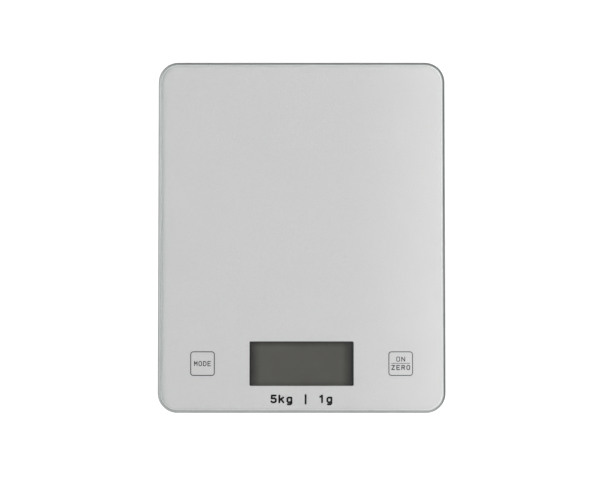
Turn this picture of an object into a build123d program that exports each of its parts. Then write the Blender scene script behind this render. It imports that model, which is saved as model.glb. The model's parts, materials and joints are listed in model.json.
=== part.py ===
from build123d import *

import math
import os

# Slim kitchen scale: a glass plate bonded onto a moulded tray, which stands on four sprung feet.
# Every foot presses on the tongue of a load cell. Millimetres, +Z up. The origin is the middle of
# the footprint on the table top. The display and the two touch keys are at the front, towards -Y.

# ---- Driving dimensions --------------------------------------------------------------------------
PLATE_WIDTH = 180.0
PLATE_DEPTH = 220.0
PLATE_CORNER = 12.5
GLASS_THICK = 4.0
GLASS_EDGE_ROUND = 1.9
PRINT_THICK = 0.1
PRINT_INSET = 2.0
TAPE_THICK = 0.5
TAPE_WIDTH = 4.0
TAPE_SETBACK = 0.3

TRAY_UNDERSIDE_Z = 3.0
TRAY_RIM_Z = 12.4
TRAY_SKIN = 1.8
TRAY_RIM_INSET = 5.0
TRAY_FLARE = 3.0
TRAY_TOP_CORNER = 12.0
TRAY_EDGE_ROUND = 2.0
TRAY_WALL = 1.7
TRAY_DRAFT = 2.0
RIB_THICK = 1.4

WINDOW_WIDTH = 65.2
WINDOW_DEPTH = 27.8
WINDOW_CORNER = 0.8
FRONT_ROW_Y = -79.2
KEY_X = 62.0
KEY_SIZE = 15.3
KEY_CORNER = 1.9
KEY_LINE = 0.55
MARK_Y = -101.2

FOOT_X = 61.0
FOOT_Y = 81.0
CELL_SIZE = 26.0
CELL_CORNER = 4.0
CELL_THICK = 1.6
FOOT_TRAVEL = 0.4

PCB_WIDTH = 80.0
PCB_DEPTH = 59.0
PCB_Y = -70.0
PCB_THICK = 1.6

BATTERY_Y = -8.0
BATTERY_RADIUS = 10.0
BATTERY_THICK = 3.2
CAP_TURN = 30.0

# ---- Levels and sizes that follow from them ------------------------------------------------------
TRAY_FLOOR_Z = TRAY_UNDERSIDE_Z + TRAY_SKIN
PRINT_Z = TRAY_RIM_Z + TAPE_THICK
GLASS_Z = PRINT_Z + PRINT_THICK
TRAY_WIDTH = PLATE_WIDTH - 2 * TRAY_RIM_INSET
TRAY_DEPTH = PLATE_DEPTH - 2 * TRAY_RIM_INSET
BASE_WIDTH = TRAY_WIDTH - 2 * TRAY_FLARE
BASE_DEPTH = TRAY_DEPTH - 2 * TRAY_FLARE

CELL_Z = 7.0
CELL_TOP_Z = CELL_Z + CELL_THICK
POCKET_RADIUS = 17.5
POCKET_WALL = 1.9
POCKET_ROOF_Z = CELL_TOP_Z + 1.6

PCB_Z = 6.6
PCB_TOP_Z = PCB_Z + PCB_THICK
PCB_REAR_Y = PCB_Y + PCB_DEPTH / 2

FIT = 0.15

CORNERS = {
    "front_left": (-FOOT_X, -FOOT_Y),
    "front_right": (FOOT_X, -FOOT_Y),
    "back_left": (-FOOT_X, FOOT_Y),
    "back_right": (FOOT_X, FOOT_Y),
}


def corner_plane(x, y, z=0.0):
    """Plane over a foot. Its -Y axis points at the middle of the scale, where the wires go."""
    return Plane(origin=(x, y, z), x_dir=(math.copysign(1, y), 0, 0), z_dir=(0, 0, 1))


os.makedirs("parts", exist_ok=True)

# ---- Glass platform: toughened glass with a ground, rounded edge ---------------------------------
with BuildPart() as glass_platform:
    with BuildSketch(Plane.XY.offset(GLASS_Z)):
        RectangleRounded(PLATE_WIDTH, PLATE_DEPTH, PLATE_CORNER)
    extrude(amount=GLASS_THICK)
    rims = [glass_platform.faces().sort_by(Axis.Z)[end].edges() for end in (0, -1)]
    fillet(rims[0] + rims[1], GLASS_EDGE_ROUND)
glass_platform.part.label = "glass_platform"
export_step(glass_platform.part, "parts/glass_platform.step")

# ---- Legend print: key frames, key words and capacity mark, printed on the back of the glass -----
# Letters are pen strokes on a grid 4 wide and 6 high.
GRID_WIDTH = 4.0
GRID_HEIGHT = 6.0
GLYPHS = {
    "O": [[(1, 0), (3, 0), (4, 1.2), (4, 4.8), (3, 6), (1, 6), (0, 4.8), (0, 1.2), (1, 0)]],
    "D": [[(0, 0), (2.6, 0), (4, 1.4), (4, 4.6), (2.6, 6), (0, 6), (0, 0)]],
    "E": [[(4, 0), (0, 0), (0, 6), (4, 6)], [(0, 3), (3.2, 3)]],
    "M": [[(0, 0), (0, 6), (2, 2.5), (4, 6), (4, 0)]],
    "N": [[(0, 0), (0, 6), (4, 0), (4, 6)]],
    "R": [[(0, 0), (0, 6), (3, 6), (4, 5.2), (4, 3.8), (3, 3), (0, 3)], [(2, 3), (4, 0)]],
    "Z": [[(0, 6), (4, 6), (0, 0), (4, 0)]],
    "1": [[(0.8, 4.8), (2.4, 6), (2.4, 0)]],
    "5": [[(3.8, 6), (0.4, 6), (0.2, 3.4), (2.8, 3.6), (4, 2.6), (4, 1), (2.9, 0), (0.9, 0), (0, 0.8)]],
    "k": [[(0, 0), (0, 6)], [(3.4, 4.2), (0, 1.7)], [(1.4, 2.7), (3.6, 0)]],
    "g": [
        [(3.6, 0.9), (2.7, 0), (0.9, 0), (0, 0.9), (0, 3.3), (0.9, 4.2), (3.6, 4.2)],
        [(3.6, 4.2), (3.6, -0.9), (2.8, -1.8), (0.4, -1.8)],
    ],
    "|": [[(2, -1.2), (2, 6.4)]],
    " ": [],
}


def pen_stroke(points, pen):
    """Round-ended strokes between the points, added to the sketch that is open."""
    for (x1, y1), (x2, y2) in zip(points, points[1:]):
        with Locations(((x1 + x2) / 2, (y1 + y2) / 2)):
            length = math.hypot(x2 - x1, y2 - y1)
            SlotCenterToCenter(length, pen, rotation=math.degrees(math.atan2(y2 - y1, x2 - x1)))


def write_word(word, center, height, letter_width, gap, pen):
    """A word in pen strokes, centred on a point, added to the sketch that is open."""
    inner_width, inner_height = letter_width - pen, height - pen
    left = center[0] - (len(word) * (letter_width + gap) - gap) / 2 + pen / 2
    low = center[1] - inner_height / 2
    for count, letter in enumerate(word):
        x = left + count * (letter_width + gap)
        for stroke in GLYPHS[letter]:
            points = [
                (x + u * inner_width / GRID_WIDTH, low + v * inner_height / GRID_HEIGHT)
                for u, v in stroke
            ]
            pen_stroke(points, pen)


# Left key: one word. Right key: a short word over a longer one, with a line between them.
KEY_WORD_HEIGHT = 3.2
KEY_WORD_PEN = 0.5
UPPER_WORD_RISE = 2.8
LOWER_WORD_DROP = 2.4
DIVIDER_RISE = 0.2
DIVIDER_WIDTH = 11.7
DIVIDER_LINE = 0.35
MARK_HEIGHT = 5.4
MARK_PEN = 1.2

with BuildSketch(Plane.XY.offset(PRINT_Z)) as legend_outline:
    with Locations((-KEY_X, FRONT_ROW_Y), (KEY_X, FRONT_ROW_Y)):
        RectangleRounded(KEY_SIZE, KEY_SIZE, KEY_CORNER)
        inside = KEY_SIZE - 2 * KEY_LINE
        RectangleRounded(inside, inside, KEY_CORNER - KEY_LINE, mode=Mode.SUBTRACT)
    write_word("MODE", (-KEY_X, FRONT_ROW_Y), KEY_WORD_HEIGHT, 2.15, 0.65, KEY_WORD_PEN)
    write_word("ON", (KEY_X, FRONT_ROW_Y + UPPER_WORD_RISE), KEY_WORD_HEIGHT, 2.35, 0.8, KEY_WORD_PEN)
    write_word("ZERO", (KEY_X, FRONT_ROW_Y - LOWER_WORD_DROP), KEY_WORD_HEIGHT, 2.35, 0.8, 0.6)
    with Locations((KEY_X, FRONT_ROW_Y + DIVIDER_RISE)):
        Rectangle(DIVIDER_WIDTH, DIVIDER_LINE)
    write_word("5kg | 1g", (0, MARK_Y), MARK_HEIGHT, 4.0, 1.0, MARK_PEN)

with BuildPart() as legend_print:
    add(legend_outline.sketch)
    extrude(amount=PRINT_THICK)
legend_print.part.label = "legend_print"
export_step(legend_print.part, "parts/legend_print.step")

# ---- Silver back print, with a clear window over the display -------------------------------------
with BuildPart() as silver_back_print:
    with BuildSketch(Plane.XY.offset(PRINT_Z)):
        RectangleRounded(
            PLATE_WIDTH - 2 * PRINT_INSET, PLATE_DEPTH - 2 * PRINT_INSET, PLATE_CORNER - PRINT_INSET
        )
        with Locations((0, FRONT_ROW_Y)):
            RectangleRounded(WINDOW_WIDTH, WINDOW_DEPTH, WINDOW_CORNER, mode=Mode.SUBTRACT)
        add(legend_outline.sketch, mode=Mode.SUBTRACT)
    extrude(amount=PRINT_THICK)
silver_back_print.part.label = "silver_back_print"
export_step(silver_back_print.part, "parts/silver_back_print.step")

# ---- Bonding tape between the tray's rim and the plate -------------------------------------------
with BuildPart() as bonding_tape:
    with BuildSketch(Plane.XY.offset(TRAY_RIM_Z)):
        for inset, mode in ((TAPE_SETBACK, Mode.ADD), (TAPE_SETBACK + TAPE_WIDTH, Mode.SUBTRACT)):
            RectangleRounded(
                TRAY_WIDTH - 2 * inset, TRAY_DEPTH - 2 * inset, TRAY_TOP_CORNER - inset, mode=mode
            )
    extrude(amount=TAPE_THICK)
bonding_tape.part.label = "bonding_tape"
export_step(bonding_tape.part, "parts/bonding_tape.step")

# ---- Housing tray --------------------------------------------------------------------------------
TRAY_HEIGHT = TRAY_RIM_Z - TRAY_UNDERSIDE_Z
FLARE_ANGLE = math.degrees(math.atan(TRAY_FLARE / TRAY_HEIGHT))
RELIEF_WIDTH = 14.0
RELIEF_FRONT = -11.5
RELIEF_BACK = 8.0
WIRE_SLOT = 5.0
WIRE_SLOT_LENGTH = 12.0
STAKE_X = 9.5
STAKE_RADIUS = 0.9
STAKE_HEAD = 1.6
STAKE_HEAD_THICK = 0.5
BOSS_RADIUS = 2.6
PILOT_RADIUS = 1.0
PILOT_SKIN = 0.8
SCREW_X = 37.7
SCREW_ROWS = (-95.0, -44.0)
SCREW_SPOTS = [(x, y) for x in (-SCREW_X, SCREW_X) for y in SCREW_ROWS]
TRAY_INNER_CORNER = 7.5
RIB_X = 28.0
RIB_ROWS = (32.0, 70.0)
RIB_HALF = 50.0
RIB_START_Y = 12.0
RIB_END_Y = 99.0
SHORT_RIBS_FROM_Y = 51.0

CAP_RECESS_RADIUS = 15.3
CAP_RECESS_DEPTH = 1.0
CAP_HOLE_RADIUS = 12.9
NOTCH_RADIUS = 14.6
NOTCH_ANGLE = 34.0
LUG_ANGLE = 24.0
LUG_ROOM_RADIUS = 14.8
LUG_ROOM_TOP = 6.25
CELL_ROOM_RADIUS = BATTERY_RADIUS + 0.25
CELL_ROOM_TOP = 9.9
BATTERY_ROOF_Z = 11.1
LUG_ROOM_WALL = 1.6
LUG_ROOF_THICK = 1.3
LUG_ROOF_Z = LUG_ROOM_TOP + LUG_ROOF_THICK
CELL_ROOM_WALL = 1.8
CONTACT_SLOT_REACH = 11.0
CONTACT_SLOT_WIDTH = 7.0
CONTACT_SLOT_LENGTH = 5.0


def ring_sector(outer, inner, middle_angle, sweep_angle):
    """A piece of a ring about the local origin, added to the sketch that is open."""
    with BuildLine() as outline:
        inside = CenterArc((0, 0), inner, middle_angle - sweep_angle / 2, sweep_angle)
        outside = CenterArc((0, 0), outer, middle_angle - sweep_angle / 2, sweep_angle)
        Line(inside @ 0, outside @ 0)
        Line(inside @ 1, outside @ 1)
    make_face(outline.edges())


with BuildPart() as housing_tray:
    with BuildSketch(Plane.XY.offset(TRAY_UNDERSIDE_Z)):
        RectangleRounded(BASE_WIDTH, BASE_DEPTH, TRAY_TOP_CORNER - TRAY_FLARE)
    extrude(amount=TRAY_HEIGHT, taper=-FLARE_ANGLE)
    fillet(housing_tray.faces().sort_by(Axis.Z)[0].edges(), TRAY_EDGE_ROUND)

    # Inside of the tray
    with BuildSketch(Plane.XY.offset(TRAY_FLOOR_Z)):
        RectangleRounded(BASE_WIDTH - 2 * TRAY_WALL, BASE_DEPTH - 2 * TRAY_WALL, TRAY_INNER_CORNER)
    extrude(amount=TRAY_RIM_Z - TRAY_FLOOR_Z, taper=-TRAY_DRAFT, mode=Mode.SUBTRACT)

    # Load-cell pocket walls, board bosses, battery room walls and stiffening ribs
    with BuildSketch(Plane.XY.offset(TRAY_FLOOR_Z)):
        with Locations(*CORNERS.values()):
            Circle(POCKET_RADIUS + POCKET_WALL)
    extrude(amount=POCKET_ROOF_Z - TRAY_FLOOR_Z)
    with BuildSketch(Plane.XY.offset(TRAY_FLOOR_Z)):
        with Locations(*SCREW_SPOTS):
            Circle(BOSS_RADIUS)
    extrude(amount=PCB_Z - TRAY_FLOOR_Z)
    with BuildSketch(Plane.XY.offset(TRAY_FLOOR_Z)):
        with Locations((0, BATTERY_Y)):
            Circle(LUG_ROOM_RADIUS + LUG_ROOM_WALL)
    extrude(amount=LUG_ROOF_Z - TRAY_FLOOR_Z)
    with BuildSketch(Plane.XY.offset(TRAY_FLOOR_Z)):
        with Locations((0, BATTERY_Y)):
            Circle(CELL_ROOM_RADIUS + CELL_ROOM_WALL)
    extrude(amount=BATTERY_ROOF_Z - TRAY_FLOOR_Z)
    with BuildSketch(Plane.XY.offset(TRAY_FLOOR_Z)):
        for x in (-RIB_X, RIB_X):
            with Locations((x, (RIB_START_Y + RIB_END_Y) / 2)):
                Rectangle(RIB_THICK, RIB_END_Y - RIB_START_Y)
        for y in RIB_ROWS:
            with Locations((0, y)):
                Rectangle(2 * (RIB_HALF if y < SHORT_RIBS_FROM_Y else RIB_X), RIB_THICK)
    extrude(amount=TRAY_RIM_Z - TRAY_FLOOR_Z)

    # Pockets open downwards: a round bore for the foot, then a square seat for the load cell
    for x, y in CORNERS.values():
        with BuildSketch(corner_plane(x, y, TRAY_UNDERSIDE_Z)):
            Circle(POCKET_RADIUS)
        extrude(amount=CELL_Z - FIT - TRAY_UNDERSIDE_Z, mode=Mode.SUBTRACT)
        with BuildSketch(corner_plane(x, y, CELL_Z - FIT)):
            RectangleRounded(CELL_SIZE + 2 * FIT, CELL_SIZE + 2 * FIT, CELL_CORNER)
        extrude(amount=CELL_THICK + FIT, mode=Mode.SUBTRACT)
        with BuildSketch(corner_plane(x, y, CELL_TOP_Z)):
            with Locations((0, (RELIEF_FRONT + RELIEF_BACK) / 2)):
                Rectangle(RELIEF_WIDTH, RELIEF_BACK - RELIEF_FRONT)
            with Locations((0, RELIEF_FRONT + 1 - WIRE_SLOT_LENGTH / 2)):
                Rectangle(WIRE_SLOT, WIRE_SLOT_LENGTH)
        extrude(amount=POCKET_ROOF_Z - CELL_TOP_Z, mode=Mode.SUBTRACT)
        # Two heat stakes hold the load cell up against its seat
        with BuildSketch(corner_plane(x, y, CELL_Z)):
            with Locations((-STAKE_X, 0), (STAKE_X, 0)):
                Circle(STAKE_RADIUS)
        extrude(amount=CELL_THICK)
        with BuildSketch(corner_plane(x, y, CELL_Z - STAKE_HEAD_THICK)):
            with Locations((-STAKE_X, 0), (STAKE_X, 0)):
                Circle(STAKE_HEAD)
        extrude(amount=STAKE_HEAD_THICK)

    # Screw pilot holes
    with BuildSketch(Plane.XY.offset(TRAY_UNDERSIDE_Z + PILOT_SKIN)):
        with Locations(*SCREW_SPOTS):
            Circle(PILOT_RADIUS)
    extrude(amount=PCB_Z - TRAY_UNDERSIDE_Z - PILOT_SKIN, mode=Mode.SUBTRACT)

    # Battery opening: recess for the cap's flange, bayonet hole, lug room, cell room, contact slots
    battery_plane = Plane(origin=(0, BATTERY_Y, 0))
    with BuildSketch(battery_plane.offset(TRAY_UNDERSIDE_Z)):
        Circle(CAP_RECESS_RADIUS)
    extrude(amount=CAP_RECESS_DEPTH, mode=Mode.SUBTRACT)
    with BuildSketch(battery_plane.offset(TRAY_UNDERSIDE_Z)):
        Circle(CAP_HOLE_RADIUS)
        for lug in range(3):
            ring_sector(NOTCH_RADIUS, CAP_HOLE_RADIUS - 2, 120 * lug + 90 - CAP_TURN, NOTCH_ANGLE)
    extrude(amount=TRAY_SKIN, mode=Mode.SUBTRACT)
    with BuildSketch(battery_plane.offset(TRAY_FLOOR_Z)):
        Circle(LUG_ROOM_RADIUS)
    extrude(amount=LUG_ROOM_TOP - TRAY_FLOOR_Z, mode=Mode.SUBTRACT)
    with BuildSketch(battery_plane.offset(TRAY_FLOOR_Z)):
        Circle(CELL_ROOM_RADIUS)
    extrude(amount=CELL_ROOM_TOP - TRAY_FLOOR_Z, mode=Mode.SUBTRACT)
    with BuildSketch(battery_plane.offset(LUG_ROOF_Z)):
        with Locations((0, -CONTACT_SLOT_REACH)):
            Rectangle(CONTACT_SLOT_WIDTH, CONTACT_SLOT_LENGTH)
        with Locations((CONTACT_SLOT_REACH, 0)):
            Rectangle(CONTACT_SLOT_LENGTH, CONTACT_SLOT_WIDTH)
    extrude(amount=CELL_ROOM_TOP - LUG_ROOF_Z, mode=Mode.SUBTRACT)
housing_tray.part.label = "housing_tray"
export_step(housing_tray.part, "parts/housing_tray.step")

# ---- Display: rear reflector, glass cell with a contact ledge, front polariser, frame ------------
DISPLAY_Z = PCB_TOP_Z + 0.3
DISPLAY_WIDTH = 67.4
DISPLAY_DEPTH = 33.0
LEDGE_DEPTH = 4.0
FILM_THICK = 0.2
CELL_GLASS_THICK = 1.1
LOWER_GLASS_Z = DISPLAY_Z + FILM_THICK
UPPER_GLASS_Z = LOWER_GLASS_Z + CELL_GLASS_THICK
POLARISER_Z = UPPER_GLASS_Z + CELL_GLASS_THICK
FRAME_TOP_Z = PRINT_Z - FIT
FILM_INSET = 0.3
FRAME_WALL = 1.8
FRAME_CORNER = 1.5
FRAME_OPENING_MARGIN = 0.6
BACK_OPENING_WIDTH = DISPLAY_WIDTH - 5
BACK_OPENING_DEPTH = DISPLAY_DEPTH - 4
BACK_OPENING_SHIFT = 2.2
ZEBRA_LENGTH = 58.0
ZEBRA_WIDTH = 2.0
display_plane = Plane(origin=(0, FRONT_ROW_Y, 0))

with BuildPart() as lcd_reflector:
    with BuildSketch(display_plane.offset(DISPLAY_Z)):
        with Locations((0, -LEDGE_DEPTH / 2)):
            Rectangle(DISPLAY_WIDTH - 2 * FILM_INSET, DISPLAY_DEPTH - LEDGE_DEPTH - 2 * FILM_INSET)
    extrude(amount=FILM_THICK)
lcd_reflector.part.label = "lcd_reflector"
export_step(lcd_reflector.part, "parts/lcd_reflector.step")

with BuildPart() as lcd_glass:
    with BuildSketch(display_plane.offset(LOWER_GLASS_Z)):
        with Locations((0, -LEDGE_DEPTH / 2)):
            Rectangle(DISPLAY_WIDTH, DISPLAY_DEPTH - LEDGE_DEPTH)
    extrude(amount=CELL_GLASS_THICK)
    with BuildSketch(display_plane.offset(UPPER_GLASS_Z)):
        Rectangle(DISPLAY_WIDTH, DISPLAY_DEPTH)
    extrude(amount=CELL_GLASS_THICK)
lcd_glass.part.label = "lcd_glass"
export_step(lcd_glass.part, "parts/lcd_glass.step")

with BuildPart() as lcd_polariser:
    with BuildSketch(display_plane.offset(POLARISER_Z)):
        Rectangle(DISPLAY_WIDTH - 2 * FILM_INSET, DISPLAY_DEPTH - 2 * FILM_INSET)
    extrude(amount=FILM_THICK)
lcd_polariser.part.label = "lcd_polariser"
export_step(lcd_polariser.part, "parts/lcd_polariser.step")

with BuildPart() as lcd_frame:
    with BuildSketch(display_plane.offset(PCB_TOP_Z)):
        RectangleRounded(DISPLAY_WIDTH + 2 * FRAME_WALL, DISPLAY_DEPTH + 2 * FRAME_WALL, FRAME_CORNER)
    extrude(amount=FRAME_TOP_Z - PCB_TOP_Z)
    with BuildSketch(display_plane.offset(PCB_TOP_Z)):
        with Locations((0, BACK_OPENING_SHIFT)):
            Rectangle(BACK_OPENING_WIDTH, BACK_OPENING_DEPTH)
    extrude(amount=DISPLAY_Z - PCB_TOP_Z, mode=Mode.SUBTRACT)
    with BuildSketch(display_plane.offset(DISPLAY_Z)):
        Rectangle(DISPLAY_WIDTH + 2 * FIT, DISPLAY_DEPTH + 2 * FIT)
    extrude(amount=POLARISER_Z + FILM_THICK - DISPLAY_Z, mode=Mode.SUBTRACT)
    with BuildSketch(display_plane.offset(POLARISER_Z + FILM_THICK)):
        Rectangle(WINDOW_WIDTH + 2 * FRAME_OPENING_MARGIN, WINDOW_DEPTH + 2 * FRAME_OPENING_MARGIN)
    extrude(amount=FRAME_TOP_Z - POLARISER_Z - FILM_THICK, mode=Mode.SUBTRACT)
lcd_frame.part.label = "lcd_frame"
export_step(lcd_frame.part, "parts/lcd_frame.step")

with BuildPart() as zebra_strip:
    with BuildSketch(display_plane.offset(PCB_TOP_Z)):
        with Locations((0, DISPLAY_DEPTH / 2 - LEDGE_DEPTH / 2)):
            Rectangle(ZEBRA_LENGTH, ZEBRA_WIDTH)
    extrude(amount=UPPER_GLASS_Z - PCB_TOP_Z)
zebra_strip.part.label = "zebra_strip"
export_step(zebra_strip.part, "parts/zebra_strip.step")

# ---- Circuit board and what is soldered to it ----------------------------------------------------
PCB_CORNER = 1.0
PCB_HOLE_RADIUS = 1.15
SHANK_RADIUS = 0.95
SHANK_START_Z = TRAY_UNDERSIDE_Z + 1.2
SCREW_HEAD_RADIUS = 1.9
SCREW_HEAD_THICK = 1.2
CROSS_LENGTH = 2.0
CROSS_WIDTH = 0.4
CROSS_DEPTH = 0.6

with BuildPart() as main_pcb:
    with BuildSketch(Plane.XY.offset(PCB_Z)):
        with Locations((0, PCB_Y)):
            RectangleRounded(PCB_WIDTH, PCB_DEPTH, PCB_CORNER)
        with Locations(*SCREW_SPOTS):
            Circle(PCB_HOLE_RADIUS, mode=Mode.SUBTRACT)
    extrude(amount=PCB_THICK)
main_pcb.part.label = "main_pcb"
export_step(main_pcb.part, "parts/main_pcb.step")

with BuildPart() as pcb_screws:
    with BuildSketch(Plane.XY.offset(SHANK_START_Z)):
        with Locations(*SCREW_SPOTS):
            Circle(SHANK_RADIUS)
    extrude(amount=PCB_TOP_Z - SHANK_START_Z)
    with BuildSketch(Plane.XY.offset(PCB_TOP_Z)):
        with Locations(*SCREW_SPOTS):
            Circle(SCREW_HEAD_RADIUS)
    extrude(amount=SCREW_HEAD_THICK)
    fillet(pcb_screws.faces().group_by(Axis.Z)[-1].edges(), 0.5)
    with BuildSketch(Plane.XY.offset(PCB_TOP_Z + SCREW_HEAD_THICK - CROSS_DEPTH)):
        with Locations(*SCREW_SPOTS):
            Rectangle(CROSS_LENGTH, CROSS_WIDTH)
            Rectangle(CROSS_WIDTH, CROSS_LENGTH)
    extrude(amount=CROSS_DEPTH, mode=Mode.SUBTRACT)
pcb_screws.part.label = "pcb_screws"
export_step(pcb_screws.part, "parts/pcb_screws.step")

CHIP_ROW_Y = -51.0
BLOB_RADIUS = 5.5
BLOB_HEIGHT = 1.2
CONVERTER_X = -20.0
CONVERTER_STANDOFF = 0.15
LEG_PITCH = 1.27
LEG_SPAN = 5.2
CRYSTAL_X = 14.0
RESISTOR_X = 26.0
CAPACITOR_SPOTS = [(-9.5, -3.0), (-9.5, 3.0), (8.0, -4.0), (20.5, 0.0)]
CHIP_PART_WIDTH = 1.25
CHIP_PART_LENGTH = 2.0

with BuildPart() as controller_blob:
    with BuildSketch(Plane.XY.offset(PCB_TOP_Z)):
        with Locations((0, CHIP_ROW_Y)):
            Circle(BLOB_RADIUS)
    extrude(amount=BLOB_HEIGHT)
    fillet(controller_blob.faces().sort_by(Axis.Z)[-1].edges(), 1.0)
controller_blob.part.label = "controller_blob"
export_step(controller_blob.part, "parts/controller_blob.step")

with BuildPart() as converter_chip:
    with BuildSketch(Plane.XY.offset(PCB_TOP_Z + CONVERTER_STANDOFF)):
        with Locations((CONVERTER_X, CHIP_ROW_Y)):
            Rectangle(10.0, 3.9)
    extrude(amount=1.4)
    with BuildSketch(Plane.XY.offset(PCB_TOP_Z)):
        with Locations((CONVERTER_X, CHIP_ROW_Y)):
            with GridLocations(LEG_PITCH, LEG_SPAN, 8, 2):
                Rectangle(0.45, 1.4)
    extrude(amount=0.5)
converter_chip.part.label = "converter_chip"
export_step(converter_chip.part, "parts/converter_chip.step")

with BuildPart() as crystal:
    with BuildSketch(Plane.XY.offset(PCB_TOP_Z)):
        with Locations((CRYSTAL_X, CHIP_ROW_Y)):
            SlotOverall(8.0, 3.4)
    extrude(amount=2.6)
    fillet(crystal.faces().sort_by(Axis.Z)[-1].edges(), 0.4)
crystal.part.label = "crystal"
export_step(crystal.part, "parts/crystal.step")

with BuildPart() as chip_capacitors:
    with BuildSketch(Plane.XY.offset(PCB_TOP_Z)):
        with Locations(*[(x, CHIP_ROW_Y + dy) for x, dy in CAPACITOR_SPOTS]):
            Rectangle(CHIP_PART_WIDTH, CHIP_PART_LENGTH)
    extrude(amount=1.0)
chip_capacitors.part.label = "chip_capacitors"
export_step(chip_capacitors.part, "parts/chip_capacitors.step")

with BuildPart() as chip_resistors:
    with BuildSketch(Plane.XY.offset(PCB_TOP_Z)):
        with Locations((RESISTOR_X, CHIP_ROW_Y)):
            with GridLocations(3.0, 4.0, 3, 2):
                Rectangle(CHIP_PART_WIDTH, CHIP_PART_LENGTH)
    extrude(amount=0.5)
chip_resistors.part.label = "chip_resistors"
export_step(chip_resistors.part, "parts/chip_resistors.step")

# ---- Touch electrodes behind the two key outlines ------------------------------------------------
ELECTRODE_SIZE = 13.0
ELECTRODE_THICK = 0.8
ELECTRODE_CORNER = 1.0
for key_name, side in (("mode", -1), ("zero", 1)):
    with BuildPart() as touch_electrode:
        with BuildSketch(Plane.XY.offset(PRINT_Z - ELECTRODE_THICK)):
            with Locations((side * KEY_X, FRONT_ROW_Y)):
                RectangleRounded(ELECTRODE_SIZE, ELECTRODE_SIZE, ELECTRODE_CORNER)
        extrude(amount=ELECTRODE_THICK)
    touch_electrode.part.label = f"touch_electrode_{key_name}"
    export_step(touch_electrode.part, f"parts/touch_electrode_{key_name}.step")

# ---- Coin cell and its contacts ------------------------------------------------------------------
COIN_Z = 6.3
COIN_CAP_THICK = 0.4
COIN_CAP_STEP = 1.3
COIN_TOP_Z = COIN_Z + BATTERY_THICK

with BuildPart() as coin_cell:
    with BuildSketch(battery_plane.offset(COIN_Z)):
        Circle(BATTERY_RADIUS)
    extrude(amount=BATTERY_THICK - COIN_CAP_THICK)
    fillet(coin_cell.edges().sort_by(Axis.Z)[0], 0.4)
    with BuildSketch(battery_plane.offset(COIN_TOP_Z - COIN_CAP_THICK)):
        Circle(BATTERY_RADIUS - COIN_CAP_STEP)
    extrude(amount=COIN_CAP_THICK)
coin_cell.part.label = "coin_cell"
export_step(coin_cell.part, "parts/coin_cell.step")

LEAF_THICK = 0.3
LEAF_WIDTH = 5.0
NEGATIVE_LEAF_END = 16.0
NEGATIVE_LEAF_LENGTH = 20.0
NEGATIVE_TAB_WIDTH = 3.0
NEGATIVE_TAB_HEIGHT = 2.0
POSITIVE_GAP = 0.02
POSITIVE_WALL_HEIGHT = 1.6
POSITIVE_TAB_LENGTH = 6.0
POSITIVE_WALL_Z = COIN_Z + 1.3
POSITIVE_TAB_Z = POSITIVE_WALL_Z + POSITIVE_WALL_HEIGHT
with BuildPart() as battery_contact_negative:
    with BuildSketch(battery_plane.offset(COIN_TOP_Z)):
        with Locations((0, NEGATIVE_LEAF_LENGTH / 2 - NEGATIVE_LEAF_END)):
            Rectangle(LEAF_WIDTH, NEGATIVE_LEAF_LENGTH)
    extrude(amount=LEAF_THICK)
    with BuildSketch(battery_plane.offset(COIN_TOP_Z)):
        with Locations((0, LEAF_THICK / 2 - NEGATIVE_LEAF_END)):
            Rectangle(NEGATIVE_TAB_WIDTH, LEAF_THICK)
    extrude(amount=NEGATIVE_TAB_HEIGHT)
battery_contact_negative.part.label = "battery_contact_negative"
export_step(battery_contact_negative.part, "parts/battery_contact_negative.step")

with BuildPart() as battery_contact_positive:
    with BuildSketch(battery_plane.offset(POSITIVE_WALL_Z)):
        with Locations((BATTERY_RADIUS + POSITIVE_GAP + LEAF_THICK / 2, 0)):
            Rectangle(LEAF_THICK, LEAF_WIDTH)
    extrude(amount=POSITIVE_WALL_HEIGHT)
    with BuildSketch(battery_plane.offset(POSITIVE_TAB_Z)):
        with Locations((BATTERY_RADIUS + POSITIVE_GAP + POSITIVE_TAB_LENGTH / 2, 0)):
            Rectangle(POSITIVE_TAB_LENGTH, LEAF_WIDTH)
    extrude(amount=LEAF_THICK)
battery_contact_positive.part.label = "battery_contact_positive"
export_step(battery_contact_positive.part, "parts/battery_contact_positive.step")

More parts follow.
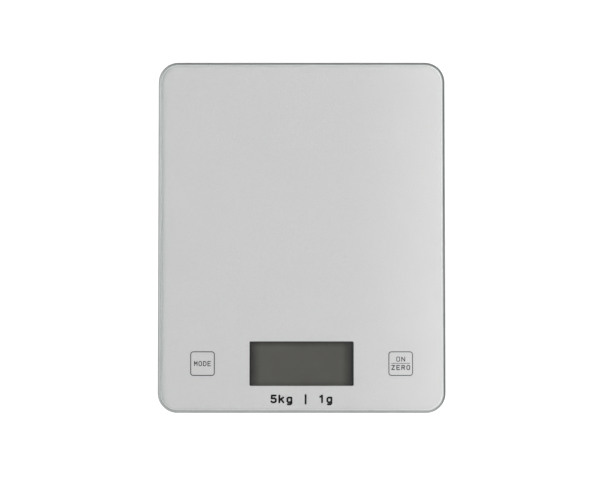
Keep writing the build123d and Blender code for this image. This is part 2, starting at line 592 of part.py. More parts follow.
# ---- Twist-lock battery cap in the underside -----------------------------------------------------
CAP_Z = TRAY_UNDERSIDE_Z + 0.1
CAP_FLANGE_TOP_Z = TRAY_UNDERSIDE_Z + CAP_RECESS_DEPTH - 0.1
LUG_Z = TRAY_FLOOR_Z + 0.2
LUG_TOP_Z = LUG_ROOM_TOP - 0.25
CAP_FIT = 0.3
CAP_FLOOR_Z = CAP_FLANGE_TOP_Z + 0.8
CAP_HOLLOW_RADIUS = 10.8
COIN_SLOT_LENGTH = 17.0
COIN_SLOT_WIDTH = 2.4
COIN_SLOT_DEPTH = 0.7
POINTER_REACH = 11.6
POINTER_RADIUS = 1.3
with BuildPart() as battery_cap:
    with BuildSketch(battery_plane.offset(CAP_Z)):
        Circle(CAP_RECESS_RADIUS - CAP_FIT)
    extrude(amount=CAP_FLANGE_TOP_Z - CAP_Z)
    with BuildSketch(battery_plane.offset(CAP_FLANGE_TOP_Z)):
        Circle(CAP_HOLE_RADIUS - CAP_FIT)
    extrude(amount=LUG_TOP_Z - CAP_FLANGE_TOP_Z)
    with BuildSketch(battery_plane.offset(LUG_Z)):
        for lug in range(3):
            ring_sector(NOTCH_RADIUS - 0.4, CAP_HOLE_RADIUS - 1, 120 * lug + 90, LUG_ANGLE)
    extrude(amount=LUG_TOP_Z - LUG_Z)
    with BuildSketch(battery_plane.offset(CAP_FLOOR_Z)):
        Circle(CAP_HOLLOW_RADIUS)
    extrude(amount=LUG_TOP_Z - CAP_FLOOR_Z, mode=Mode.SUBTRACT)
    # Coin slot and a small pointer, seen from below
    with BuildSketch(battery_plane.offset(CAP_Z)):
        SlotOverall(COIN_SLOT_LENGTH, COIN_SLOT_WIDTH)
        with Locations((0, POINTER_REACH)):
            RegularPolygon(POINTER_RADIUS, 3, rotation=90)
    extrude(amount=COIN_SLOT_DEPTH, mode=Mode.SUBTRACT)
    fillet(battery_cap.faces().sort_by(Axis.Z)[0].outer_wire().edges(), 0.25)
battery_cap.part.label = "battery_cap"
export_step(battery_cap.part, "parts/battery_cap.step")

# ---- Feet: load cell with its gauge, foot cap, rubber pad and retaining ring, at each corner -----
TONGUE_WIDTH = 9.0
TONGUE_ROOT_Y = -8.0
TONGUE_TIP_Y = 6.5
SLIT = 1.5
GAUGE_Y = -6.0
GAUGE_WIDTH = 5.0
GAUGE_LENGTH = 4.0
GAUGE_THICK = 0.08
SEALANT_THICK = 1.2
PAD_RADIUS = 10.0
PAD_HEIGHT = 1.7
FOOT_CAP_Z = 1.2
FOOT_NECK_RADIUS = 13.9
FOOT_FLANGE_RADIUS = 15.9
FOOT_FLANGE_Z = 4.75
FOOT_FLANGE_TOP_Z = 5.9
FOOT_BOSS_RADIUS = 3.0
RETAINER_TOP_Z = 4.6
PRESS_FIT = 0.05
RETAINER_SLOT_DEPTH = 1.6
RETAINER_SLOT_WIDTH = 3.0

for corner, (x, y) in CORNERS.items():
    with BuildPart() as load_cell:
        with BuildSketch(corner_plane(x, y, CELL_Z)):
            RectangleRounded(CELL_SIZE, CELL_SIZE, CELL_CORNER)
            with Locations((0, (TONGUE_ROOT_Y + TONGUE_TIP_Y + SLIT) / 2)):
                Rectangle(
                    TONGUE_WIDTH + 2 * SLIT, TONGUE_TIP_Y + SLIT - TONGUE_ROOT_Y, mode=Mode.SUBTRACT
                )
            with Locations((0, (TONGUE_ROOT_Y - 1 + TONGUE_TIP_Y) / 2)):
                Rectangle(TONGUE_WIDTH, TONGUE_TIP_Y - TONGUE_ROOT_Y + 1)
            with Locations((-STAKE_X, 0), (STAKE_X, 0)):
                Circle(STAKE_RADIUS + 0.1, mode=Mode.SUBTRACT)
        extrude(amount=CELL_THICK)
    load_cell.part.label = f"load_cell_{corner}"
    export_step(load_cell.part, f"parts/load_cell_{corner}.step")

    with BuildPart() as strain_gauge:
        with BuildSketch(corner_plane(x, y, CELL_TOP_Z)):
            with Locations((0, GAUGE_Y)):
                Rectangle(GAUGE_WIDTH, GAUGE_LENGTH)
        extrude(amount=GAUGE_THICK)
    strain_gauge.part.label = f"strain_gauge_{corner}"
    export_step(strain_gauge.part, f"parts/strain_gauge_{corner}.step")

    with BuildPart() as gauge_sealant:
        with BuildSketch(corner_plane(x, y, CELL_TOP_Z)):
            with Locations((0, GAUGE_Y)):
                RectangleRounded(GAUGE_WIDTH + 3, GAUGE_LENGTH + 3, 1.5)
        extrude(amount=SEALANT_THICK)
        with BuildSketch(corner_plane(x, y, CELL_TOP_Z)):
            with Locations((0, GAUGE_Y)):
                Rectangle(GAUGE_WIDTH, GAUGE_LENGTH)
        extrude(amount=GAUGE_THICK, mode=Mode.SUBTRACT)
    gauge_sealant.part.label = f"gauge_sealant_{corner}"
    export_step(gauge_sealant.part, f"parts/gauge_sealant_{corner}.step")

    with BuildPart() as foot_cap:
        with BuildSketch(corner_plane(x, y, FOOT_CAP_Z)):
            Circle(FOOT_NECK_RADIUS)
        extrude(amount=FOOT_FLANGE_Z - FOOT_CAP_Z)
        fillet(foot_cap.edges().sort_by(Axis.Z)[0], 0.6)
        with BuildSketch(corner_plane(x, y, FOOT_FLANGE_Z)):
            Circle(FOOT_FLANGE_RADIUS)
        extrude(amount=FOOT_FLANGE_TOP_Z - FOOT_FLANGE_Z)
        with BuildSketch(corner_plane(x, y, FOOT_FLANGE_TOP_Z)):
            Circle(FOOT_BOSS_RADIUS)
        extrude(amount=CELL_Z - FOOT_FLANGE_TOP_Z)
        with BuildSketch(corner_plane(x, y, FOOT_CAP_Z)):
            Circle(PAD_RADIUS)
        extrude(amount=PAD_HEIGHT - FOOT_CAP_Z, mode=Mode.SUBTRACT)
    foot_cap.part.label = f"foot_cap_{corner}"
    export_step(foot_cap.part, f"parts/foot_cap_{corner}.step")

    with BuildPart() as foot_pad:
        with BuildSketch(corner_plane(x, y)):
            Circle(PAD_RADIUS - PRESS_FIT)
        extrude(amount=PAD_HEIGHT)
        fillet(foot_pad.edges().sort_by(Axis.Z)[0], 0.5)
    foot_pad.part.label = f"foot_pad_{corner}"
    export_step(foot_pad.part, f"parts/foot_pad_{corner}.step")

    with BuildPart() as foot_retainer:
        with BuildSketch(corner_plane(x, y, TRAY_UNDERSIDE_Z)):
            Circle(POCKET_RADIUS - PRESS_FIT)
            Circle(FOOT_NECK_RADIUS + 0.4, mode=Mode.SUBTRACT)
            with PolarLocations(POCKET_RADIUS, 2):
                Rectangle(RETAINER_SLOT_DEPTH, RETAINER_SLOT_WIDTH, mode=Mode.SUBTRACT)
        extrude(amount=RETAINER_TOP_Z - TRAY_UNDERSIDE_Z)
    foot_retainer.part.label = f"foot_retainer_{corner}"
    export_step(foot_retainer.part, f"parts/foot_retainer_{corner}.step")

# ---- Wires ---------------------------------------------------------------------------------------
WIRE_DIAMETER = 1.0
WIRE_PITCH = 1.3
WIRE_BEND = 3.0
TOUCH_LEAD_DIAMETER = 0.8
SLOT_Z = CELL_TOP_Z + 0.6
FLOOR_LAY_Z = TRAY_FLOOR_Z + 0.6
SOLDER_Z = PCB_TOP_Z + WIRE_DIAMETER / 2
SOLDER_Y = PCB_REAR_Y - 2.0

# Right-hand routes of the middle wire of each trio, from the sealant to the board
GAUGE_EXIT = FOOT_Y + GAUGE_Y - 3.5
BACK_ROUTE = [
    (FOOT_X, GAUGE_EXIT, SLOT_Z),
    (FOOT_X, 58, SLOT_Z),
    (FOOT_X, 46, FLOOR_LAY_Z),
    (FOOT_X, -14, FLOOR_LAY_Z),
    (24, -27, FLOOR_LAY_Z),
    (22, -34, SOLDER_Z),
    (22, SOLDER_Y, SOLDER_Z),
]
FRONT_ROUTE = [
    (FOOT_X, -GAUGE_EXIT, SLOT_Z),
    (FOOT_X, -56, SLOT_Z),
    (FOOT_X, -44, FLOOR_LAY_Z),
    (54, -28, FLOOR_LAY_Z),
    (38, -28, FLOOR_LAY_Z),
    (31, -35, SOLDER_Z),
    (31, SOLDER_Y, SOLDER_Z),
]


def beside(route, shift):
    """The same route moved sideways in plan, so that wires run side by side."""
    plan = [Vector(x, y, 0) for x, y, _ in route]
    headings = [(end - start).normalized() for start, end in zip(plan, plan[1:])]
    moved = []
    for count, point in enumerate(route):
        before = headings[max(count - 1, 0)]
        after = headings[min(count, len(headings) - 1)]
        along = (before + after).normalized()
        reach = shift / along.dot(after)
        moved.append(Vector(*point) + Vector(-along.Y, along.X, 0) * reach)
    return moved


def mirrored(route):
    """The same route on the left-hand side."""
    return [(-x, y, z) for x, y, z in route]


def lay_wire(points, diameter, bend):
    """Straight runs joined by arcs, swept round, added to the part that is open."""
    points = [Vector(*point) for point in points]
    with BuildLine() as route:
        FilletPolyline(*points, radius=bend)
    with BuildSketch(Plane(origin=points[0], z_dir=points[1] - points[0])) as section:
        Circle(diameter / 2)
    sweep(section.sketch, path=route.wires()[0])


TRIOS = [BACK_ROUTE, FRONT_ROUTE, mirrored(BACK_ROUTE), mirrored(FRONT_ROUTE)]
for wire_colour, place in (("red", -1), ("white", 0), ("black", 1)):
    with BuildPart() as cell_wires:
        for route in TRIOS:
            lay_wire(beside(route, place * WIRE_PITCH), WIRE_DIAMETER, WIRE_BEND)
    cell_wires.part.label = f"cell_wires_{wire_colour}"
    export_step(cell_wires.part, f"parts/cell_wires_{wire_colour}.step")

UNDER_KEY_Z = PRINT_Z - ELECTRODE_THICK - 0.45
ON_BOARD_Z = PCB_TOP_Z + 0.45
ELECTRODE_ROUTE = [
    (KEY_X - 4.5, FRONT_ROW_Y + 5, UNDER_KEY_Z),
    (43.5, FRONT_ROW_Y + 8, UNDER_KEY_Z),
    (40, FRONT_ROW_Y + 9, ON_BOARD_Z),
    (36.5, FRONT_ROW_Y + 10, ON_BOARD_Z),
]
with BuildPart() as touch_leads:
    for route in (ELECTRODE_ROUTE, mirrored(ELECTRODE_ROUTE)):
        lay_wire(route, TOUCH_LEAD_DIAMETER, 2.0)
touch_leads.part.label = "touch_leads"
export_step(touch_leads.part, "parts/touch_leads.step")

NEGATIVE_ROUTE = [
    (0, BATTERY_Y - NEGATIVE_LEAF_END - WIRE_DIAMETER / 2, COIN_TOP_Z + 1.2),
    (-1, -32, COIN_TOP_Z),
    (-3, SOLDER_Y - 1, SOLDER_Z),
]
POSITIVE_ROUTE = [
    (13.5, BATTERY_Y - LEAF_WIDTH / 2, POSITIVE_TAB_Z + LEAF_THICK / 2),
    (13.5, -20, POSITIVE_TAB_Z + LEAF_THICK / 2),
    (8, -33, SOLDER_Z),
    (7, SOLDER_Y - 1, SOLDER_Z),
]
for pole, route in (("negative", NEGATIVE_ROUTE), ("positive", POSITIVE_ROUTE)):
    with BuildPart() as battery_lead:
        lay_wire(route, WIRE_DIAMETER, 5.0)
    battery_lead.part.label = f"battery_lead_{pole}"
    export_step(battery_lead.part, f"parts/battery_lead_{pole}.step")
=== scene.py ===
import json
import math

import bmesh
import bpy
from mathutils import Matrix, Vector


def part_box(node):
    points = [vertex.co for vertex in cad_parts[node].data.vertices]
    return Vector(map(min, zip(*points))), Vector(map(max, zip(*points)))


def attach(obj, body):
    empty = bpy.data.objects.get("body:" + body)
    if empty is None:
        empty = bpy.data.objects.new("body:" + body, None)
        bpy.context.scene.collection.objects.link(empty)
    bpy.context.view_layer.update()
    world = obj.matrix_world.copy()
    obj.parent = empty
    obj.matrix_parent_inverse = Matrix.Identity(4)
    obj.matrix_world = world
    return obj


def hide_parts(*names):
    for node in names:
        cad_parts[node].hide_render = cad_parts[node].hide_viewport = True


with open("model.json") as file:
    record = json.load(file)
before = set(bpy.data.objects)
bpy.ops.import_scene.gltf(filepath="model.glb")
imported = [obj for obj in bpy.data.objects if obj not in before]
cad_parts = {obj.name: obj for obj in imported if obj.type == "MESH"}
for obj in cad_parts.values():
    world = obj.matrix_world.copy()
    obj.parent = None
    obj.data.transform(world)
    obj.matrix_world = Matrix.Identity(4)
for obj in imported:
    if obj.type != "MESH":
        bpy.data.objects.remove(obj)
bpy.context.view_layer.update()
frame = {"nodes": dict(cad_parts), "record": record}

# Looks of the slim kitchen scale. Metres, +Z up, the display end is -Y.
MM = 0.001
CORNERS = ("front_left", "front_right", "back_left", "back_right")
SLOT_OF = {p["node"]: p["material_slot"] for p in frame["record"]["subparts"]}

# ---- Shader building blocks ----------------------------------------------------------------------


class Shader:
    """A node tree that starts with a Principled surface over Object coordinates, in metres."""

    def __init__(self, name, color=(0.5, 0.5, 0.5), roughness=0.5, metallic=0.0, ior=1.5):
        self.material = bpy.data.materials.new(name)
        self.material.use_nodes = True
        self.tree = self.material.node_tree
        self.tree.nodes.clear()
        self.output = self.add("ShaderNodeOutputMaterial")
        self.surface = self.add("ShaderNodeBsdfPrincipled")
        self.surface.inputs["Base Color"].default_value = (*color, 1)
        self.surface.inputs["Roughness"].default_value = roughness
        self.surface.inputs["Metallic"].default_value = metallic
        self.surface.inputs["IOR"].default_value = ior
        self.link(self.surface.outputs[0], self.output.inputs["Surface"])
        self.place = self.add("ShaderNodeTexCoord").outputs["Object"]
        self.height = None

    def add(self, kind, **settings):
        node = self.tree.nodes.new(kind)
        for key, value in settings.items():
            setattr(node, key, value)
        return node

    def link(self, source, target):
        self.tree.links.new(source, target)

    def stretched(self, factors):
        """Object coordinates scaled along each axis, for grain that runs one way."""
        mapping = self.add("ShaderNodeMapping")
        mapping.inputs["Scale"].default_value = factors
        self.link(self.place, mapping.inputs["Vector"])
        return mapping.outputs["Vector"]

    def noise(self, size, detail=3.0, roughness=0.55, along=(1, 1, 1)):
        """Noise whose features are about `size` metres wide."""
        node = self.add("ShaderNodeTexNoise")
        node.inputs["Scale"].default_value = 1 / size
        node.inputs["Detail"].default_value = detail
        node.inputs["Roughness"].default_value = roughness
        source = self.place if along == (1, 1, 1) else self.stretched(along)
        self.link(source, node.inputs["Vector"])
        return node.outputs["Fac"]

    def cells(self, size, feature="F1"):
        """Voronoi cells about `size` metres wide."""
        node = self.add("ShaderNodeTexVoronoi", feature=feature)
        node.inputs["Scale"].default_value = 1 / size
        self.link(self.place, node.inputs["Vector"])
        return node

    def bands(self, scale, direction, distortion=0.0):
        """Parallel bands across the direction."""
        node = self.add("ShaderNodeTexWave", wave_type="BANDS", bands_direction=direction)
        node.inputs["Scale"].default_value = scale
        node.inputs["Distortion"].default_value = distortion
        self.link(self.place, node.inputs["Vector"])
        return node.outputs["Fac"]

    def remap(self, value, low, high, start=0.0, end=1.0):
        """Value from low..high taken to start..end, clamped."""
        node = self.add("ShaderNodeMapRange")
        limits = {"From Min": low, "From Max": high, "To Min": start, "To Max": end}
        for socket, number in limits.items():
            node.inputs[socket].default_value = number
        self.link(value, node.inputs["Value"])
        return node.outputs["Result"]

    def math(self, operation, a, b):
        node = self.add("ShaderNodeMath", operation=operation)
        for socket, value in zip(node.inputs, (a, b)):
            if isinstance(value, (int, float)):
                socket.default_value = value
            else:
                self.link(value, socket)
        return node.outputs[0]

    def mix(self, factor, first, second):
        """Colour mix. Each side is a colour or a socket."""
        node = self.add("ShaderNodeMix", data_type="RGBA")
        self.link(factor, node.inputs["Factor"])
        sockets = [s for s in node.inputs if s.type == "RGBA"]
        for socket, value in zip(sockets, (first, second)):
            if isinstance(value, tuple):
                socket.default_value = (*value, 1)
            else:
                self.link(value, socket)
        return [s for s in node.outputs if s.type == "RGBA"][0]

    def color(self, socket):
        self.link(socket, self.surface.inputs["Base Color"])

    def roughness(self, socket):
        self.link(socket, self.surface.inputs["Roughness"])

    def bump(self, height, distance, strength):
        """Adds a bump on top of the ones before. distance is the relief's depth in metres."""
        node = self.add("ShaderNodeBump")
        node.inputs["Strength"].default_value = strength
        node.inputs["Distance"].default_value = distance
        self.link(height, node.inputs["Height"])
        if self.height is not None:
            self.link(self.height, node.inputs["Normal"])
        self.height = node.outputs["Normal"]
        self.link(self.height, self.surface.inputs["Normal"])

    def coordinate(self, axis):
        node = self.add("ShaderNodeSeparateXYZ")
        self.link(self.place, node.inputs[0])
        return node.outputs[axis]


def shaded(color, factor):
    """The colour made this many times as bright."""
    return tuple(min(1.0, channel * factor) for channel in color)


# ---- Materials, one function per kind ------------------------------------------------------------
DUST = (0.55, 0.54, 0.52)


def moulded(name, color, roughness=0.5, grain=0.35 * MM, mottle=0.06, dust=0.0):
    """Moulded plastic with spark-eroded grain, uneven gloss and, if asked, a thin veil of dust."""
    s = Shader(name, color, roughness, ior=1.52)
    cloud = s.noise(22 * MM, detail=4)
    fine = s.noise(grain, detail=2, roughness=0.65)
    tone = s.mix(s.remap(cloud, 0.3, 0.7), shaded(color, 1 - mottle), shaded(color, 1 + mottle))
    speck = s.remap(fine, 0.25, 0.75)
    tone = s.mix(s.math("MULTIPLY", speck, 0.12), tone, shaded(color, 0.6))
    if dust:
        veil = s.remap(s.noise(1.6 * MM, detail=6, roughness=0.75), 0.5, 0.8, 0.0, dust)
        tone = s.mix(veil, tone, DUST)
    s.color(tone)
    s.roughness(s.remap(cloud, 0.25, 0.75, roughness - 0.06, roughness + 0.08))
    s.bump(fine, 0.02 * MM, 0.7)
    return s.material


def metal(name, color, roughness=0.3, along=(1, 1, 1), tarnish=0.15):
    """Sheet or drawn metal: fine rolling lines or grain, and darker handled patches."""
    s = Shader(name, color, roughness, metallic=1.0)
    lines = s.noise(0.3 * MM, detail=4, roughness=0.6, along=along)
    patch = s.noise(6 * MM, detail=5, roughness=0.6)
    s.color(s.mix(s.remap(patch, 0.35, 0.75), color, shaded(color, 1 - tarnish)))
    s.roughness(s.remap(lines, 0.2, 0.8, roughness - 0.08, roughness + 0.12))
    s.bump(lines, 0.004 * MM, 0.5)
    return s.material


def rubber(name, color, roughness=0.75):
    """Matte rubber with a pebbled skin and a little pale bloom."""
    s = Shader(name, color, roughness, ior=1.46)
    pebble = s.noise(0.45 * MM, detail=3)
    bloom = s.remap(s.noise(3.5 * MM, detail=5, roughness=0.7), 0.5, 0.8, 0.0, 0.35)
    s.color(s.mix(bloom, color, shaded(color, 2.4)))
    s.roughness(s.remap(pebble, 0.2, 0.8, roughness - 0.1, roughness + 0.1))
    s.bump(pebble, 0.05 * MM, 0.6)
    return s.material


SILVER = (0.396, 0.395, 0.394)
PAINTED_DULL_FLAKE = (0.347, 0.346, 0.345)
PAINTED_GLINTING_FLAKE = (0.466, 0.465, 0.464)


def silver_print():
    """Metallic ink seen through glass: aluminium flakes that glint a little differently each, the
    glint painted into each flake's colour.
    """
    s = Shader("silver_print", roughness=0.4, metallic=0.82)
    flakes = s.cells(0.22 * MM)
    glint = s.add("ShaderNodeSeparateColor")
    s.link(flakes.outputs["Color"], glint.inputs[0])
    cloud = s.noise(30 * MM, detail=3)
    # Painted glint: each flake's colour lies between a duller and a brighter silver, as if it
    # caught the light at its own tilt.
    painted_flake_glint = s.mix(glint.outputs[0], PAINTED_DULL_FLAKE, PAINTED_GLINTING_FLAKE)
    s.color(s.mix(s.remap(cloud, 0.3, 0.7, 0.5, 0.7), painted_flake_glint, SILVER))
    s.roughness(s.remap(glint.outputs[1], 0.0, 1.0, 0.34, 0.48))
    s.bump(glint.outputs[2], 0.012 * MM, 0.35)
    return s.material


KEY_INK = (0.016, 0.016, 0.018)
MARK_INK = (0.004, 0.004, 0.005)
MARK_STRIP = 8 * MM
MARK_STRIP_BLEND = 1 * MM


def legend_ink():
    """Screen-print ink with the faint pattern of its mesh: grey-black keys, a blacker mark."""
    s = Shader("legend_ink", KEY_INK, 0.45)
    s.surface.inputs["Specular IOR Level"].default_value = 0.02
    mesh_pattern = s.noise(0.12 * MM, detail=2)
    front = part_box("legend_print")[0][1]
    strip_end = front + MARK_STRIP
    at_mark = s.remap(s.coordinate("Y"), strip_end, strip_end + MARK_STRIP_BLEND, 1.0, 0.0)
    s.color(s.mix(at_mark, KEY_INK, MARK_INK))
    s.roughness(s.remap(mesh_pattern, 0.2, 0.8, 0.38, 0.55))
    s.bump(mesh_pattern, 0.004 * MM, 0.4)
    return s.material


def let_light_through(s, tint, kinds=("Is Shadow Ray",)):
    """These kinds of ray pass straight through the glass and only take on its tint."""
    rays = s.add("ShaderNodeLightPath")
    passing = rays.outputs[kinds[0]]
    for kind in kinds[1:]:
        passing = s.math("MAXIMUM", passing, rays.outputs[kind])
    clear = s.add("ShaderNodeBsdfTransparent")
    clear.inputs["Color"].default_value = (*tint, 1)
    blend = s.add("ShaderNodeMixShader")
    s.link(passing, blend.inputs["Fac"])
    s.link(s.surface.outputs[0], blend.inputs[1])
    s.link(clear.outputs[0], blend.inputs[2])
    s.link(blend.outputs[0], s.output.inputs["Surface"])


def platform_glass():
    """Clear toughened glass: polished faces, faint wipe marks, a breath of green in its depth."""
    s = Shader("platform_glass", (1.0, 1.0, 1.0), 0.0, ior=1.52)
    s.surface.inputs["Transmission Weight"].default_value = 1.0
    wipes = s.noise(9 * MM, detail=5, roughness=0.65, along=(1.0, 0.25, 1.0))
    s.roughness(s.remap(wipes, 0.45, 0.85, 0.0, 0.035))
    body = s.add("ShaderNodeVolumeAbsorption")
    body.inputs["Color"].default_value = (0.70, 0.90, 0.84, 1)
    body.inputs["Density"].default_value = 3.0
    s.link(body.outputs[0], s.output.inputs["Volume"])
    let_light_through(s, (0.98, 0.985, 0.985))
    return s.material


def ground_edge():
    """The plate's pencil-ground edge: satin glass with fine lines along the grind, its dark
    grey-green partly the grind's own tone and partly painted shade of the dark gap and surroundings
    that clear glass would show.

    Light for the print under the edge passes through it.
    """
    # Partly painted shade: the edge is coloured dark where clear glass would show the shaded gap
    # and dark surroundings through it.
    dark, bright = (0.248, 0.259, 0.255), (0.276, 0.287, 0.283)
    s = Shader("ground_edge", dark, 0.3, metallic=0.8, ior=1.52)
    grind = s.noise(0.25 * MM, detail=3, along=(1, 1, 6))
    patch = s.noise(12 * MM, detail=4)
    s.color(s.mix(s.remap(patch, 0.3, 0.7), dark, bright))
    s.roughness(s.remap(grind, 0.2, 0.8, 0.24, 0.40))
    s.bump(grind, 0.01 * MM, 0.5)
    print_light = ("Is Shadow Ray", "Is Diffuse Ray", "Is Glossy Ray")
    let_light_through(s, (0.76, 0.775, 0.77), print_light)
    return s.material


def display_glass():
    """Thin grey glass of the display's cell."""
    s = Shader("display_glass", (0.62, 0.64, 0.60), 0.02, ior=1.52)
    s.surface.inputs["Transmission Weight"].default_value = 0.6
    s.roughness(s.remap(s.noise(4 * MM), 0.3, 0.7, 0.01, 0.05))
    return s.material


# How far in from each side the display's dark border starts to fade, and where it is gone: its
# seal, with painted shade of the recessed window's walls.
SEAL_AND_SHADE_LEFT = (1.2 * MM, 8.0 * MM)
SEAL_AND_SHADE_RIGHT = (1.4 * MM, 8.5 * MM)
SEAL_AND_SHADE_BACK = (2.4 * MM, 6.5 * MM)
SEAL_AND_SHADE_FRONT = (2.0 * MM, 5.5 * MM)


def display_film():
    """Blank liquid-crystal display: grey-olive polariser, nearly black at its edges, where its seal
    and painted shade of the recessed window darken it.
    """
    seal_and_painted_shade, olive, pale_olive = (0.007, 0.007, 0.007), (0.066, 0.064, 0.057), (0.073, 0.071, 0.063)
    s = Shader("display_film", olive, 0.32, ior=1.49)
    s.surface.inputs["Specular IOR Level"].default_value = 0.06
    cloud = s.noise(16 * MM, detail=3)
    grain = s.noise(0.18 * MM, detail=2)
    tone = s.mix(s.remap(cloud, 0.3, 0.7), olive, pale_olive)
    low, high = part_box("lcd_polariser")
    x, y = s.coordinate("X"), s.coordinate("Y")
    left = s.remap(x, *(low[0] + inset for inset in SEAL_AND_SHADE_LEFT))
    right = s.remap(x, *(high[0] - inset for inset in SEAL_AND_SHADE_RIGHT))
    back = s.remap(y, *(high[1] - inset for inset in SEAL_AND_SHADE_BACK))
    front = s.remap(y, *(low[1] + inset for inset in SEAL_AND_SHADE_FRONT))
    sides = s.math("MULTIPLY", s.math("POWER", left, 0.6), s.math("POWER", right, 0.9))
    ends = s.math("MULTIPLY", s.math("POWER", back, 0.5), s.remap(front, 0.0, 1.0, 0.75, 1.0))
    # Painted shade: towards its edges the olive goes nearly black, for the seal and for the shade
    # of the window's walls, widest on the right.
    s.color(s.mix(s.math("MULTIPLY", sides, ends), seal_and_painted_shade, tone))
    s.roughness(s.remap(grain, 0.2, 0.8, 0.27, 0.40))
    s.bump(grain, 0.003 * MM, 0.4)
    return s.material


def board_laminate():
    """Green solder mask over woven glass, with copper pours that show as lighter areas."""
    mask, mask_on_copper = (0.012, 0.11, 0.045), (0.03, 0.24, 0.09)
    s = Shader("board_laminate", mask_on_copper, 0.35)
    weave = s.bands(500, "DIAGONAL", distortion=1.0)
    pours = s.cells(6 * MM, "DISTANCE_TO_EDGE")
    track = s.remap(pours.outputs["Distance"], 0.04, 0.06)
    s.color(s.mix(track, mask, mask_on_copper))
    s.roughness(s.remap(weave, 0.0, 1.0, 0.28, 0.42))
    s.bump(weave, 0.01 * MM, 0.3)
    s.bump(track, 0.03 * MM, 0.5)
    return s.material


def foam_tape():
    """White foam with open bubbles, with painted shade for their hollows."""
    skin, painted_bubble_shade = (0.82, 0.82, 0.80), (0.60, 0.60, 0.58)
    s = Shader("foam_tape", skin, 0.8)
    bubbles = s.cells(0.35 * MM)
    # Painted shade: the foam is darkened by a greyer tone across each bubble, standing for shade in
    # its hollow.
    s.color(s.mix(bubbles.outputs["Distance"], skin, painted_bubble_shade))
    s.roughness(s.remap(bubbles.outputs["Distance"], 0.0, 0.6, 0.7, 0.95))
    s.bump(bubbles.outputs["Distance"], 0.08 * MM, 0.8)
    return s.material


def gauge_foil():
    """Amber film with a fine etched metal grid."""
    film, foil = (0.62, 0.36, 0.07), (0.60, 0.55, 0.48)
    s = Shader("gauge_foil", film, 0.3)
    grid = s.bands(700, "X")
    s.color(s.mix(s.remap(grid, 0.45, 0.55), film, foil))
    s.roughness(s.remap(grid, 0.0, 1.0, 0.25, 0.4))
    return s.material


def zebra_rubber():
    """Alternating conductive and insulating layers, side by side along the strip."""
    conductive, insulating = (0.03, 0.03, 0.03), (0.45, 0.42, 0.40)
    s = Shader("grey_rubber", conductive, 0.6)
    layers = s.bands(900, "X")
    s.color(s.mix(layers, conductive, insulating))
    s.roughness(s.remap(layers, 0.0, 1.0, 0.5, 0.7))
    return s.material


MATERIALS = {
    "platform_glass": platform_glass(),
    "ground_edge": ground_edge(),
    "silver_print": silver_print(),
    "legend_ink": legend_ink(),
    "foam_tape": foam_tape(),
    "tray_plastic": moulded("tray_plastic", (0.27, 0.275, 0.28), mottle=0.035, dust=0.12),
    "black_plastic": moulded("black_plastic", (0.012, 0.012, 0.013), 0.45, grain=0.2 * MM),
    "display_film": display_film(),
    "display_glass": display_glass(),
    "grey_rubber": zebra_rubber(),
    "board_laminate": board_laminate(),
    "zinc_steel": metal("zinc_steel", (0.62, 0.64, 0.68), 0.3),
    "can_metal": metal("can_metal", (0.66, 0.66, 0.66), 0.25, along=(0.2, 1, 1)),
    "capacitor_ceramic": moulded("capacitor_ceramic", (0.36, 0.24, 0.14), 0.5, grain=0.1 * MM),
    "cell_steel": metal("cell_steel", (0.70, 0.71, 0.72), 0.28, along=(0.3, 1, 1)),
    "spring_steel": metal("spring_steel", (0.66, 0.65, 0.60), 0.3, along=(1, 0.15, 1)),
    "cell_plate_steel": metal("cell_plate_steel", (0.48, 0.49, 0.50), 0.38, (0.1, 1, 1), 0.25),
    "gauge_foil": gauge_foil(),
    "white_silicone": rubber("white_silicone", (0.78, 0.78, 0.76), 0.45),
    "foot_plastic": moulded("foot_plastic", (0.055, 0.056, 0.06), 0.48, dust=0.08),
    "foot_rubber": rubber("foot_rubber", (0.028, 0.028, 0.03), 0.78),
    "red_insulation": moulded("red_insulation", (0.42, 0.012, 0.01), 0.38, grain=0.5 * MM),
    "white_insulation": moulded("white_insulation", (0.72, 0.72, 0.70), 0.38, grain=0.5 * MM),
    "black_insulation": moulded("black_insulation", (0.012, 0.012, 0.012), 0.38, grain=0.5 * MM),
}

# ---- CAD nodes: their own shapes with these materials, smooth over their curved faces ------------
SMOOTH_ANGLE = math.radians(30)
for node in frame["nodes"]:
    part = bpy.data.objects[node]
    part.data.materials.clear()
    part.data.materials.append(MATERIALS[SLOT_OF[node]])
    part.data.polygons.foreach_set("use_smooth", [True] * len(part.data.polygons))
    part.data.set_sharp_from_angle(angle=SMOOTH_ANGLE)

# ---- Mesh building blocks ------------------------------------------------------------------------


def finished(name, mesh, material):
    """A new piece of this mesh, shaded smoothly over its curved faces."""
    mesh.materials.append(material)
    mesh.polygons.foreach_set("use_smooth", [True] * len(mesh.polygons))
    mesh.set_sharp_from_angle(angle=SMOOTH_ANGLE)
    piece = bpy.data.objects.new(name, mesh)
    bpy.context.scene.collection.objects.link(piece)
    return piece


def rounded_loop(half_width, half_depth, radius, z, steps=20):
    """Points anticlockwise round a rectangle with rounded corners."""
    points = []
    for turn, (sx, sy) in enumerate(((1, 1), (-1, 1), (-1, -1), (1, -1))):
        middle = Vector((sx * (half_width - radius), sy * (half_depth - radius), z))
        for step in range(steps + 1):
            angle = math.radians(90 * (turn + step / steps))
            points.append(middle + Vector((math.cos(angle), math.sin(angle), 0)) * radius)
    return points


